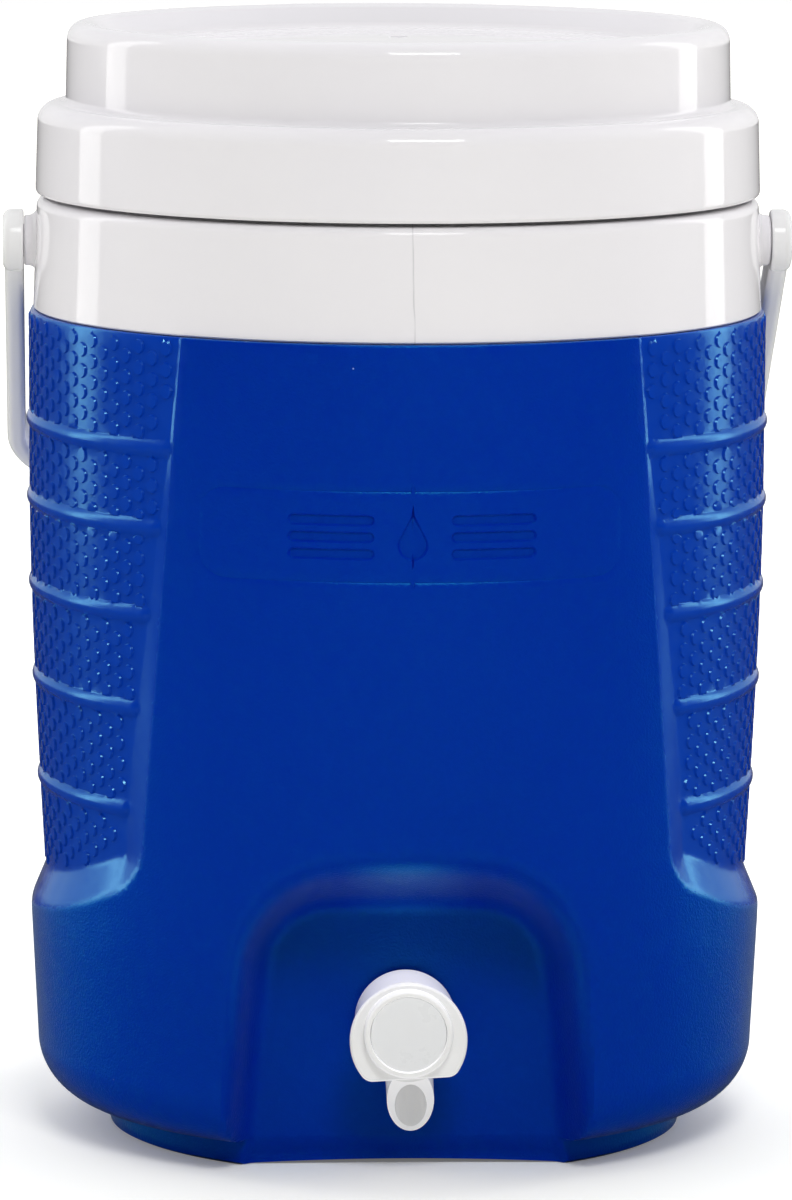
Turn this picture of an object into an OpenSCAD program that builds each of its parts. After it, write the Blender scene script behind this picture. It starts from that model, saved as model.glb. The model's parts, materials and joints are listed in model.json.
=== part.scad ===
// Insulated drink jug: a foam-filled shell and liner, a screw-on insulated lid, a swing bail
// and a push-button spigot set in a recess. Millimetres, +Z up, the spigot faces -Y.
// The origin is the centre of the foot, on the floor.

/* [Shell] */
// Height of the coloured shell
shell_h = 263; // [260:0.5:266]
// Radius at the shell's top edge
shell_top_r = 117.7; // [117.5:0.1:118]
// Radius at the top of the plain lower band
band_r = 117.1; // [116.8:0.1:117.4]
// Height of the plain lower band
band_h = 71; // [69:0.5:73]
// Radius of the foot at the floor
foot_r = 92; // [90:0.5:93]
// Height of the foot
foot_h = 8.5; // [7.5:0.1:8.8]
// Shell wall thickness
shell_wall = 2.5; // [2:0.1:2.8]

/* [Side grips] */
// How far the grips are sunk at their lower end
waist_depth = 4.4; // [3:0.1:5]
// Height where the grips begin to sink
waist_top = 205; // [195:1:215]
// Height of the grips' lower end
waist_bottom = 87; // [85:0.5:90]
// Height of the topmost rib
rib_top_z = 228; // [225:0.5:232]
// Gap between the first two ribs
rib_pitch = 25; // [24:0.5:26]
// How much each gap is larger than the one above
rib_pitch_step = 2.5; // [2:0.1:2.8]
// Ribs on each grip
rib_count = 5; // [3:1:5]

/* [Spigot recess] */
// Distance of the recess floor from the jug's axis
recess_y = 76.5; // [76:0.1:78]
// Half width of the recess floor at the bottom
recess_low_w = 51; // [48:0.5:52]
// Half width of the recess floor at the top
recess_high_w = 42; // [40:0.5:44]
// Height of the recess floor
recess_h = 83; // [80:0.5:85]

/* [Liner and collar] */
// Liner wall thickness
liner_wall = 2.4; // [2:0.1:2.6]
// Radius of the tank at the mouth
mouth_r = 97.5; // [96:0.5:98]
// Radius of the tank at its floor
tank_low_r = 91; // [88:0.5:92]
// Height of the tank's floor
tank_floor = 22; // [20:0.5:24]
// Distance of the tank's flat, where the spigot passes, from the axis
flat_y = 64.6; // [63:0.1:65]
// Height of the visible collar
collar_h = 34.3; // [33:0.1:35]
// Collar radius at its lower edge
collar_low_r = 116.1; // [115.8:0.1:116.4]
// Collar radius at its shoulder
collar_top_r = 115; // [114.6:0.1:115.2]
// Radius of the threaded neck
neck_r = 108; // [107.5:0.1:108.3]
// Height of the neck above the collar
neck_h = 24.7; // [24:0.1:25.5]

/* [Lid] */
// Gap between the collar and the lid's skirt
lid_gap = 2.5; // [2:0.1:3]
// Height of the lid's wide lower ring
lid_skirt_h = 31; // [30:0.1:32]
// Height of the lid's narrow upper ring
lid_ring_h = 23.2; // [22:0.1:24]
// Radius of the wide ring at its lower edge
lid_skirt_r = 115.3; // [115:0.1:115.6]
// Radius of the narrow ring
lid_ring_r = 105.7; // [105:0.1:106.5]
// Lid wall thickness
lid_wall = 2.6; // [2.4:0.1:2.8]
// How far the top is dished below its rim
dish_depth = 7.6; // [6:0.1:8.5]
// How far the dish rises again at its centre
dish_crown = 2.9; // [2:0.1:3.5]

/* [Lid thread] */
// Rise of the lid in one turn
lead = 16; // [15:0.5:17]
// Sweep of each of the two thread starts, in degrees
thread_sweep = 190; // [150:5:200]
// Height of the thread above its root
thread_depth = 3.2; // [3:0.1:3.3]

/* [Bail] */
// Height of the bail's pivot
pivot_z = 284.5; // [283:0.5:285]
// Distance from the pivot to the middle of the crossbar
bail_reach = 153.5; // [153:0.5:160]
// Angle of the hanging bail from straight down
bail_rest = 54.5; // [54.5:0.5:56]
// Width of the strap, in the direction of swing
strap_w = 14; // [11:0.5:14]
// Thickness of the strap
strap_t = 6; // [5:0.1:6.4]
// Outer radius of the bail's two corners
bail_corner = 37; // [25:1:45]
// Radius of the bail's ends
boss_r = 9.9; // [9:0.1:10.5]
// Radius of the pivot studs
stud_r = 5; // [4:0.1:5.5]

/* [Spigot] */
// Height of the spigot's axis
spigot_z = 47; // [46:0.5:49]
// Turn of the fitted spigot about its own axis, in degrees
spigot_roll = 2.5; // [-4:0.5:4]
// Radius of the spigot's barrel
barrel_r = 15; // [14.5:0.1:15.5]
// Radius of the finger plate
plate_r = 17.9; // [17:0.1:18.5]
// Radius of the push button
button_r = 11.8; // [11.5:0.1:11.9]
// Outer radius of the spout
spout_r = 7.1; // [6.8:0.1:7.3]
// Bore radius of the spout
spout_bore_r = 5; // [4.5:0.1:5.2]
// Radius of the threaded tail
tail_r = 10.9; // [10.5:0.1:11]

/* [Hidden] */
$fn = 96;

blue = [0.0, 0.13, 0.55];
white = [0.93, 0.93, 0.94];
foam = [0.93, 0.88, 0.7];
rubber = [0.55, 0.56, 0.58];
steel = [0.75, 0.76, 0.78];

gap = 0.15;                                // air left between parts that only rest together
collar_z = shell_h + collar_h;             // the collar's shoulder
rim_z = collar_z + neck_h;                 // the neck's rim, under the gasket
skirt_z = collar_z + lid_gap;              // the lid's lower edge
step_z = skirt_z + lid_skirt_h;            // where the lid steps in
top_z = step_z + lid_ring_h;               // the lid's rim
crest_r = lid_ring_r - 6;                  // the rounded rim's highest circle
dish_r = crest_r - 11;                     // where the dish's wall meets its floor
pan_z = rim_z + 3;                         // the lid pan's flange, above the gasket
plug_z = pan_z - 19;                       // the bottom of the lid's plug
plug_r = mouth_r - 2;
foam_relief = 1.8;                         // the foam stays this much clearer of the recess
under_r = 20;                            // rounding under the lower band
under_z = foot_h + under_r;
stud_h = 0.65;                              // the grip texture stands this far above the floor of the grip
base_recess_h = 3.5;
plug_hole_r = 9;
wedge_low = 1.23;            // the panel wedge's inner side against the panel's half width, at the band
wedge_high = 1.34;           // and at the shell's top
flare_run = 52;              // from the recess's floor out to where its walls are measured
flare_low = 15;              // how far its walls open over that run, at the foot
flare_high = 19;             // near its top
flare_top = 21;              // and upwards

// ---- shared outlines -------------------------------------------------------------------

function arc(cx, cy, r, a0, a1, n = 8) =
    [for (i = [0:n]) let (a = a0 + (a1 - a0) * i / n) [cx + r * cos(a), cy + r * sin(a)]];

function panel_r(z) = band_r + (shell_top_r - band_r) * (z - band_h) / (shell_h - band_h);

function waist(z) =
    waist_depth * pow(max(0, (waist_top - z) / (waist_top - waist_bottom)), 1.6);

function grip_r(z) = panel_r(z) - stud_h - waist(z);

function rib_z(k) = rib_top_z - rib_pitch * k - rib_pitch_step * k * (k - 1) / 2;

// Half width of the front and back panels at a height
function panel_half_w(z) = 83 - 12.6 * (z - 97) / (shell_h - 97);

function under_profile(inset) = concat(
    inset > 0 ? [[0, base_recess_h + inset], [foot_r - 5, base_recess_h + inset],
                 [foot_r, foot_h + inset]]
              : [[0, 0], [foot_r - 1.5, 0], [foot_r, 1.5], [foot_r + 1, foot_h]],
    arc(95, under_z, under_r - inset, -90, 0));

module lathe(points) rotate_extrude() polygon(points);

// ---- shell -----------------------------------------------------------------------------

// A wedge that keeps the full radius of the front and back panels, with drafted side walls
module panel_wedge(inset) {
    low_w = wedge_low * (panel_half_w(band_h) - inset);
    high_w = wedge_high * (panel_half_w(shell_h) - inset);
    near_y = 35;
    far_y = 130;
    taper = 0.6;
    function quad(y, k) = [[-k * low_w, -y, band_h - 8], [k * low_w, -y, band_h - 8],
                           [k * high_w, -y, shell_h + 5], [-k * high_w, -y, shell_h + 5]];
    for (side = [0, 180])
        rotate([0, 0, side]) polyhedron(concat(quad(far_y, taper), quad(near_y, 1)),
            [[3, 2, 1, 0], [4, 5, 6, 7], [0, 1, 5, 4], [1, 2, 6, 5], [2, 3, 7, 6], [3, 0, 4, 7]]);
}

module grip_rib(z) {
    r = grip_r(z) - 1.7;
    start = asin(panel_half_w(z) / panel_r(z)) + 1;
    for (side = [0, 180])
        rotate([0, 0, side - 90 + start])
            rotate_extrude(angle = 180 - 2 * start) translate([r, z]) circle(3.2);
}

function recess_outline(w_low, w_high, h, r) = concat(
    [[-w_low, -5], [w_low, -5]],
    arc(w_high - r, h - r, r, 6, 90, 10),
    arc(r - w_high, h - r, r, 90, 174, 10));

module recess_form(inset) {
    rotate([90, 0, 0]) hull() {
        translate([0, 0, recess_y - inset]) linear_extrude(0.01)
            polygon(recess_outline(recess_low_w + inset, recess_high_w + inset, recess_h + inset, 22));
        translate([0, 0, recess_y + flare_run]) linear_extrude(0.01)
            polygon(recess_outline(recess_low_w + flare_low + inset, recess_high_w + flare_high + inset,
                                   recess_h + flare_top + inset, 28));
    }
}

// The shell's outside when inset is 0, and a form inside it for any larger inset
module shell_form(inset, top) {
    difference() {
        union() {
            lathe(concat(under_profile(inset),
                [[band_r - inset, band_h - 2], [band_r - inset, band_h],
                 [grip_r(waist_bottom) - inset, waist_bottom]],
                [for (z = [waist_bottom + 8:10:waist_top]) [grip_r(z) - inset, z]],
                [[grip_r(shell_h) - inset, shell_h - 1], [grip_r(shell_h) - inset, top], [0, top]]));
            intersection() {
                lathe(concat(under_profile(inset),
                    [[band_r - inset, band_h], [panel_r(shell_h) - inset, shell_h],
                     [panel_r(shell_h) - inset, top], [0, top]]));
                panel_wedge(inset);
            }
            lathe([[0, shell_h - 4], [panel_r(shell_h) - inset - 1.2, shell_h - 4],
                   [panel_r(shell_h) - inset, shell_h - 2.8],
                   [panel_r(shell_h) - inset, top], [0, top]]);
        }
        recess_form(inset);
    }
}

module spigot_hole(r) {
    translate([0, 0, spigot_z]) rotate([90, 0, 0]) translate([0, 0, flat_y - 10])
        cylinder(r = r, h = recess_y - flat_y + 20);
}

module outer_shell() color(blue) {
    difference() {
        union() {
            shell_form(0, shell_h);
            for (k = [0:rib_count - 1]) grip_rib(rib_z(k));
        }
        shell_form(shell_wall, shell_h + 1);
        // the raised middle of the base, inside the foot
        intersection() {
            translate([0, 0, -1]) cylinder(r = foot_r - 14, h = base_recess_h + 1);
            translate([-120, 5 - recess_y + 4, -2]) cube([240, 240, 20]);
        }
        translate([0, 0, -1]) cylinder(r = plug_hole_r, h = 12);
        spigot_hole(tail_r + 0.4);
    }
}

module foam_fill_plug() color(blue) {
    z = base_recess_h;
    translate([0, 0, z - 1.2]) cylinder(r = plug_hole_r + 3, h = 1.1);
    translate([0, 0, z - 0.2]) cylinder(r = plug_hole_r - 0.1, h = shell_wall + 0.15);
}

// ---- liner -----------------------------------------------------------------------------

// The tank's inside when grow is 0, and its outside when grow is the wall thickness
module tank_form(grow, top) {
    corner = 8 + grow;
    flat_top = recess_h + 2;
    difference() {
        lathe(concat([[0, tank_floor - grow]],
            arc(tank_low_r - 8, tank_floor + 8, corner, -90, 0),
            [[mouth_r + grow, collar_z - 5], [mouth_r + grow, top], [0, top]]));
        rotate([90, 0, 90]) linear_extrude(300, center = true)
            polygon([[-flat_y - grow, 0], [-flat_y - grow, flat_top],
                     [-flat_y - grow - 40, flat_top + 32], [-160, flat_top + 32], [-160, 0]]);
    }
}

// The collar, its lip inside the shell, and the neck, as one turned section
function collar_section() = let (w = liner_wall, lip_z = shell_h - 8,
                                 lip_r = shell_top_r - shell_wall - stud_h - 0.4) concat(
    [[lip_r, lip_z], [lip_r, shell_h + 0.15],
     [collar_low_r, shell_h + 0.2]],
    arc(collar_top_r - 2.5, collar_z - 2.5, 2.5, 0, 90, 5),
    [[neck_r + 1, collar_z], [neck_r, collar_z + 1]],
    [[neck_r, rim_z - 1], [neck_r - 1, rim_z], [mouth_r, rim_z]],
    [[mouth_r, rim_z - 12], [mouth_r + w, rim_z - 12]],
    [[mouth_r + w, rim_z - w], [neck_r - w, rim_z - w], [neck_r - w, collar_z - w],
     [collar_top_r - w - 1, collar_z - w], [lip_r - w, lip_z]]);

// A thread of trapezoid section. inward is 1 for a thread that stands towards the axis.
module thread(root, depth, inward, z0, turn) {
    step = 5;
    n = thread_sweep / step;
    half_root = 1.9;
    half_crest = 1.0;
    function swell(i) = min(1, 0.15 + min(i, n - i) / 4);
    function ring(i) = let (a = turn + i * step, z = z0 + lead * i * step / 360,
                            crest = root - inward * depth * swell(i),
                            buried = root + inward * 0.7)
        [for (p = [[buried, -half_root], [buried, half_root], [crest, half_crest], [crest, -half_crest]])
            [p[0] * cos(a), p[0] * sin(a), z + p[1]]];
    points = [for (i = [0:n]) each ring(i)];
    sides = [for (i = [0:n - 1], k = [0:3])
        let (a = 4 * i + k, b = 4 * i + (k + 1) % 4) each [[a, b, b + 4], [a, b + 4, a + 4]]];
    caps = [[2, 1, 0], [3, 2, 0], [4 * n, 4 * n + 1, 4 * n + 2], [4 * n, 4 * n + 2, 4 * n + 3]];
    faces = concat(sides, caps);
    polyhedron(points, inward > 0 ? faces : [for (f = faces) [f[2], f[1], f[0]]]);
}

module pivot_stud() {
    rotate([0, 90, 0]) {
        translate([0, 0, collar_top_r - 3]) cylinder(r = 8, h = 7);
        translate([0, 0, collar_top_r]) cylinder(r = stud_r, h = 8.8);
    }
}

module inner_liner() color(white) {
    difference() {
        union() {
            tank_form(liner_wall, rim_z - 10);
            lathe(collar_section());
            for (side = [0, 180])
                rotate([0, 0, side]) {
                    translate([0, 0, pivot_z]) pivot_stud();
                    thread(neck_r, thread_depth, -1, collar_z + 10.1, 0);
                }
        }
        tank_form(0, rim_z + 1);
        spigot_hole(tail_r + 0.4);
    }
}

module shell_insulation() color(foam) {
    w = liner_wall + gap;
    difference() {
        union() {
            difference() {
                shell_form(shell_wall + gap, shell_h + 1);
                recess_form(shell_wall + foam_relief);
                translate([0, 0, shell_h - 8 - gap]) cylinder(r = 130, h = 20);
            }
            lathe([[mouth_r, shell_h - 12], [collar_low_r - w - 2.2, shell_h - 12],
                   [collar_top_r - w - 1.1, collar_z - w], [neck_r - w, collar_z - w],
                   [neck_r - w, rim_z - w], [mouth_r, rim_z - w]]);
        }
        tank_form(w, rim_z + 1);
        translate([0, 0, base_recess_h]) cylinder(r = plug_hole_r, h = shell_wall + 0.5);
        spigot_hole(tail_r + 0.4);
    }
}

// ---- lid -------------------------------------------------------------------------------

// The dish from its centre out to the rim, at a depth below the surface
function dish_profile(d) = concat(
    [for (i = [0:6]) let (r = dish_r * i / 6)
        [r, top_z - dish_depth + dish_crown * (1 - pow(i / 6, 2)) - d]],
    [[dish_r + 5, top_z - dish_depth + 2.4 - d], [crest_r - 2.5, top_z - 0.8 - d]]);

module lid_cap() color(white) {
    w = lid_wall;
    outside = concat(dish_profile(0),
        arc(crest_r, top_z - 6, 6, 90, 0, 6),
        [[lid_ring_r, step_z + 1.8]], arc(lid_ring_r + 1.8, step_z + 1.8, 1.8, 180, 270, 3),
        arc(lid_skirt_r - 6.2, step_z - 5.4, 5.4, 90, 0, 6),
        [[lid_skirt_r, skirt_z + 1.5], [lid_skirt_r - 0.6, skirt_z]]);
    inside = concat(
        [[lid_skirt_r - w - 0.2, skirt_z], [lid_skirt_r - w - 0.9, step_z - w - 1.4],
         [lid_ring_r - w, step_z - w]],
        arc(crest_r - 0.3, top_z - 6, 6 - w, 0, 90, 5),
        [for (i = [len(dish_profile(w)) - 2:-1:0]) dish_profile(w)[i]]);
    difference() {
        union() {
            lathe(concat(outside, inside));
            for (side = [0, 180])
                rotate([0, 0, side])
                    thread(lid_skirt_r - w - 0.5, thread_depth, 1, skirt_z + 2.6, -40);
        }
        // the moulding gate's mark in the middle of the dish
        translate([0, 0, top_z - dish_depth + dish_crown - 0.5]) cylinder(r = 3.2, h = 5);
    }
}

module lid_inner_pan() color(white) {
    w = 2.2;
    lathe(concat([[0, plug_z]],
        arc(plug_r - 4, plug_z + 4, 4, -90, 0, 5),
        [[plug_r + 0.3, pan_z], [lid_skirt_r - lid_wall - 1.1, pan_z],
         [lid_skirt_r - lid_wall - 1.1, pan_z + 1.6], [plug_r - w, pan_z + 1.6]],
        [[plug_r - w, plug_z + 4], [plug_r - 4, plug_z + w], [0, plug_z + w]]));
}

module lid_insulation() color(foam) {
    w = lid_wall + gap;
    lathe(concat([[0, plug_z + 2.4], [plug_r - 4.2, plug_z + 2.4], [plug_r - 2.4, plug_z + 4.2],
         [plug_r - 2.4, pan_z + 2.4], [lid_ring_r - w - 0.6, pan_z + 2.4],
         [lid_ring_r - w - 0.6, top_z - 6.5]],
        [for (i = [len(dish_profile(w)) - 2:-1:0]) dish_profile(w)[i]]));
}

module lid_gasket() color(rubber)
    lathe([[mouth_r + 1.5, rim_z + 0.15], [neck_r - 2, rim_z + 0.15],
           [neck_r - 2, pan_z - 0.15], [mouth_r + 1.5, pan_z - 0.15]]);

// ---- bail ------------------------------------------------------------------------------

strap_in = 119.2;                      // the strap's inner face, from the mid plane
disc_out = 125.7;

function rounded_box(cx, w, h, r) = concat(
    arc(cx + w / 2 - r, h / 2 - r, r, 0, 90, 4), arc(cx - w / 2 + r, h / 2 - r, r, 90, 180, 4),
    arc(cx - w / 2 + r, r - h / 2, r, 180, 270, 4), arc(cx + w / 2 - r, r - h / 2, r, 270, 360, 4));

// The bail hanging straight down from its pivot, before it is swung back
module bail_half() {
    inner_r = bail_corner - strap_t;
    bend = bail_reach + strap_t / 2 - bail_corner;
    edge = 2.2;
    translate([0, 0, -bend]) linear_extrude(bend)
        polygon(rounded_box(strap_in + strap_t / 2, strap_t, strap_w, edge));
    translate([strap_in - inner_r, 0, -bend]) rotate([90, 0, 0]) rotate([0, 0, -90])
        rotate_extrude(angle = 90) polygon(rounded_box(inner_r + strap_t / 2, strap_t, strap_w, edge));
    rotate([0, 90, 0]) linear_extrude(strap_in - inner_r)
        polygon(rounded_box(bail_reach, strap_t, strap_w, edge));
    rotate([0, 90, 0]) {
        translate([0, 0, strap_in - 0.1]) cylinder(r = boss_r, h = disc_out - 2 - strap_in + 0.1);
        translate([0, 0, disc_out - 2]) cylinder(r1 = boss_r, r2 = boss_r - 2.4, h = 2);
    }
}

module bail_handle() color(white)
    translate([0, 0, pivot_z]) rotate([bail_rest, 0, 0]) difference() {
        union()
            for (side = [0, 1]) mirror([side, 0, 0]) bail_half();
        for (side = [-1, 1])
            rotate([0, 90 * side, 0]) translate([0, 0, 110]) cylinder(r = stud_r + 0.06, h = 14);
    }

// ---- spigot, drawn with its axis along Z, outwards, and Y up ------------------------------

washer_t = 1.8;
plate_t = 2.5;
bezel_r = 13.8;
chamber_r = 11.5;
chamber_z = 16.5;             // outer end of the water chamber
guide_z = 18.5;               // front of the wall that guides the stem
plate_z = 24.5;               // front of the finger plate
bezel_z = 28;                 // front of the ring round the button
button_z = 27.6;              // face of the button
tail_end = -24.5;             // inner end of the tail, the valve's seat
spout_z = 11;                 // the spout's axis
stem_r = 2.4;
liner_face = flat_y - recess_y;      // the liner's inner face

module place_spigot() translate([0, -recess_y, spigot_z]) rotate([90, 0, 0]) rotate([0, 0, spigot_roll])
    children();

module finger_plate() {
    drop = 2.3;      // how far the plate's middle hangs below the axis
    flat = 12.3;     // from its middle down to the flat edge
    corner = 4;
    translate([0, -drop, plate_z - plate_t]) linear_extrude(plate_t)
        polygon(concat(arc(0, 0, plate_r, -24, 204, 40),
            arc(-plate_r + 5.2, -flat + corner, corner, 206, 270, 6),
            arc(plate_r - 5.2, -flat + corner, corner, -90, -26, 6)));
}

module spigot_body() color(white) place_spigot() {
    difference() {
        union() {
            translate([0, 0, washer_t]) cylinder(r = barrel_r, h = plate_z - 1 - washer_t);
            finger_plate();
            cylinder(r = bezel_r, h = bezel_z);
            translate([0, 0, tail_end]) cylinder(r = tail_r, h = washer_t - tail_end + 1);
            translate([0, 0, spout_z]) rotate([90, 0, 0]) cylinder(r = spout_r, h = spigot_z - 10);
        }
        // button well, stem guide, chamber, tail bore, O-ring seat and spout bore
        translate([0, 0, guide_z]) cylinder(r = button_r + 0.1, h = 20);
        translate([0, 0, tail_end - 1]) cylinder(r = stem_r + 0.08, h = 60);
        translate([0, 0, 4.5]) cylinder(r = chamber_r, h = chamber_z - 4.5);
        translate([0, 0, tail_end - 1]) cylinder(r = 7, h = 8 - tail_end);
        translate([0, 0, chamber_z - 1]) cylinder(r = 4.6, h = 2);
        translate([0, 0, spout_z]) rotate([90, 0, 0]) cylinder(r = spout_bore_r, h = 60);
        // the slanted mouth of the spout
        translate([0, 15 - spigot_z, spout_z + spout_r]) rotate([-35, 0, 0])
            translate([-20, -40, -40]) cube([40, 40, 80]);
        // the washer and the flange's back stay clear of the wall
        difference() {
            translate([0, 0, -0.01]) cylinder(r = 20, h = washer_t + 0.01);
            translate([0, 0, -1]) cylinder(r = tail_r, h = 5);
        }
    }
}

module washer(z, r_out) translate([0, 0, z]) difference() {
    cylinder(r = r_out, h = washer_t - 0.1);
    translate([0, 0, -1]) cylinder(r = tail_r + 0.1, h = 5);
}

module spigot_outer_washer() color(rubber) place_spigot() washer(0.05, barrel_r - 0.6);

module spigot_inner_washer() color(rubber) place_spigot() washer(liner_face - washer_t + 0.05, 15.5);

module spigot_nut() color(white) place_spigot() {
    h = 8;
    translate([0, 0, liner_face - washer_t - h]) difference() {
        union() {
            cylinder(r = 16.5, h = h - 0.05, $fn = 6);
            translate([0, 0, h - 2.05]) cylinder(r = 16.8, h = 2);
        }
        translate([0, 0, -1]) cylinder(r = tail_r + 0.1, h = h + 2);
    }
}

module push_button() color([0.86, 0.87, 0.88]) place_spigot() {
    difference() {
        translate([0, 0, button_z - 2.6]) cylinder(r = button_r, h = 2.6);
        translate([0, 0, button_z - 3]) cylinder(r = stem_r + 0.02, h = 1.8);
    }
}

module plunger_stem() color(white) place_spigot()
    translate([0, 0, tail_end - 5.5]) cylinder(r = stem_r, h = button_z - 1.3 - tail_end + 5.5);

module valve_seal() color(rubber) place_spigot() difference() {
    translate([0, 0, tail_end - 3]) cylinder(r = 9.4, h = 2.95);
    translate([0, 0, tail_end - 4]) cylinder(r = stem_r + 0.02, h = 6);
}

module stem_clip() color(steel) place_spigot() difference() {
    translate([0, 0, tail_end - 4]) cylinder(r = 5, h = 0.9);
    translate([0, 0, tail_end - 5]) cylinder(r = stem_r + 0.02, h = 3);
}

module stem_o_ring() color(rubber) place_spigot()
    translate([0, 0, chamber_z - 0.05]) rotate_extrude() translate([3.52, 0.05]) circle(0.95);

// A coil spring as a tube of hexagonal section round the stem
module return_spring() color(steel) place_spigot() {
    wire = 0.45;
    coil_r = 4.4;
    low = guide_z + wire + 0.05;
    rise = button_z - 2.6 - guide_z - 2 * wire - 0.1;
    turns = 3.5;
    steps = 66;
    points = [for (i = [0:steps], k = [0:5]) let (a = 360 * turns * i / steps, b = 60 * k,
            r = coil_r + wire * cos(b))
        [r * cos(a), r * sin(a), low + rise * i / steps + wire * sin(b)]];
    sides = [for (i = [0:steps - 1], k = [0:5])
        let (a = 6 * i + k, b = 6 * i + (k + 1) % 6) each [[a, b + 6, b], [a, a + 6, b + 6]]];
    caps = concat([for (k = [1:4]) [0, k, k + 1]],
        [for (k = [1:4]) [6 * steps, 6 * steps + k + 1, 6 * steps + k]]);
    polyhedron(points, concat(sides, caps));
}

outer_shell();
shell_insulation();
inner_liner();
foam_fill_plug();
lid_cap();
lid_inner_pan();
lid_insulation();
lid_gasket();
bail_handle();
spigot_body();
spigot_outer_washer();
spigot_inner_washer();
spigot_nut();
push_button();
plunger_stem();
valve_seal();
stem_o_ring();
stem_clip();
return_spring();
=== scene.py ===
"""Looks for the drinks jug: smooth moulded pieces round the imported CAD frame."""
import json
import math

import bmesh
import bpy
import numpy as np
from mathutils import Matrix, Vector
from mathutils.geometry import delaunay_2d_cdt


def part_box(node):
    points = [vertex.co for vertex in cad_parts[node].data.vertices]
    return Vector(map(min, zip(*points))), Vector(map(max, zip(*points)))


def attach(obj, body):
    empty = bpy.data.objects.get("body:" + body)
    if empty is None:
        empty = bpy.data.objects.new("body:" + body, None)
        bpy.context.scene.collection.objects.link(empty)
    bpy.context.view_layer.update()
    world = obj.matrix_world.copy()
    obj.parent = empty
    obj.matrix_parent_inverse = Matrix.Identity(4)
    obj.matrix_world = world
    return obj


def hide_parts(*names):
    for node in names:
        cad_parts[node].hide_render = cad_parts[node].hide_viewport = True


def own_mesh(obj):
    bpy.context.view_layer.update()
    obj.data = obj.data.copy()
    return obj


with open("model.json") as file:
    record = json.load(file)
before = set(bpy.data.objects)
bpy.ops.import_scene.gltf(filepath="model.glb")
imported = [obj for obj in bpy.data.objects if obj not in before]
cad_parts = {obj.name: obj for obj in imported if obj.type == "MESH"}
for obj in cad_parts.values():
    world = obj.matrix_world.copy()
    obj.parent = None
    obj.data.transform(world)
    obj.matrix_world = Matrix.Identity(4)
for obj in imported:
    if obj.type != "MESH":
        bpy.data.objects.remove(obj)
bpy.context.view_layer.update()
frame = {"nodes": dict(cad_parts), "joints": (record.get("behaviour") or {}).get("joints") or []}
scene = bpy.context.scene

MM = 0.001                      # lengths below are millimetres; Blender's are metres
SEGMENTS = 288                  # steps round the big turned pieces


def box_mm(node):
    low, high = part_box(node)
    return low / MM, high / MM


# ---- small geometry tools --------------------------------------------------------------

def arc(cx, cy, r, a0, a1, n=8):
    angles = np.radians(np.linspace(a0, a1, n + 1))
    return [(cx + r * math.cos(a), cy + r * math.sin(a)) for a in angles]


def smooth_max(a, b, k):
    h = np.clip(0.5 + 0.5 * (a - b) / k, 0, 1)
    return b + (a - b) * h + k * h * (1 - h)


def smooth_min(a, b, k):
    return -smooth_max(-a, -b, k)


def make_object(name, bm, sharp=40):
    """Turns a bmesh in millimetres into an object in metres with clean normals."""
    bmesh.ops.remove_doubles(bm, verts=bm.verts, dist=0.004)
    bmesh.ops.dissolve_degenerate(bm, dist=0.002, edges=bm.edges)
    bmesh.ops.recalc_face_normals(bm, faces=bm.faces)
    bmesh.ops.scale(bm, vec=(MM, MM, MM), verts=bm.verts)
    mesh = bpy.data.meshes.new(name)
    bm.to_mesh(mesh)
    bm.free()
    smooth(mesh, sharp)
    obj = bpy.data.objects.new(name, mesh)
    scene.collection.objects.link(obj)
    return obj


def smooth(mesh, sharp):
    mesh.polygons.foreach_set("use_smooth", np.ones(len(mesh.polygons), bool))
    mesh.set_sharp_from_angle(angle=math.radians(sharp))


def apply_modifiers(obj, sharp=40):
    depsgraph = bpy.context.evaluated_depsgraph_get()
    mesh = bpy.data.meshes.new_from_object(obj.evaluated_get(depsgraph))
    obj.modifiers.clear()
    obj.data = mesh
    smooth(mesh, sharp)


def even_normals(obj):
    """Shades flat areas flat and leaves the turn of the normals to the narrow faces between them."""
    modifier = obj.modifiers.new("normals", "WEIGHTED_NORMAL")
    modifier.keep_sharp = True
    modifier.weight = 80


def combine(obj, tool, operation, sharp=40):
    """Adds or cuts one closed object with another, and uses the tool up."""
    modifier = obj.modifiers.new("combine", "BOOLEAN")
    modifier.operation = operation
    modifier.solver = "EXACT"
    modifier.object = tool
    apply_modifiers(obj, sharp)
    bpy.data.objects.remove(tool)
    bm = bmesh.new()
    bm.from_mesh(obj.data)
    bmesh.ops.remove_doubles(bm, verts=bm.verts, dist=0.003 * MM)
    bm.to_mesh(obj.data)
    bm.free()


def lathe(name, profile, segments=SEGMENTS, sharp=40):
    """A closed (radius, height) outline turned about Z."""
    bm = bmesh.new()
    rings = []
    for k in range(segments):
        a = 2 * math.pi * k / segments
        rings.append([bm.verts.new((r * math.sin(a), -r * math.cos(a), z)) for r, z in profile])
    count = len(profile)
    for k in range(segments):
        here, there = rings[k], rings[(k + 1) % segments]
        for i in range(count):
            j = (i + 1) % count
            if profile[i][0] > 1e-6 or profile[j][0] > 1e-6:
                bm.faces.new((here[i], here[j], there[j], there[i]))
    return make_object(name, bm, sharp)


def skin(bm, rings):
    """Joins closed rings one to the next and caps both ends."""
    for here, there in zip(rings, rings[1:]):
        for k in range(len(here)):
            j = (k + 1) % len(here)
            bm.faces.new((here[k], here[j], there[j], there[k]))
    bm.faces.new(rings[0])
    bm.faces.new(rings[-1])


def move(obj, matrix):
    obj.data.transform(matrix)
    obj.data.update()


def place(obj, body, slot, material, *nodes):
    """Hands a finished piece to its body, its CAD nodes and its material."""
    obj.data.materials.clear()
    obj.data.materials.append(material)
    even_normals(obj)
    if nodes:
        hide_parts(*nodes)
    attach(obj, body)


# ---- the blue shell --------------------------------------------------------------------

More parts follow.
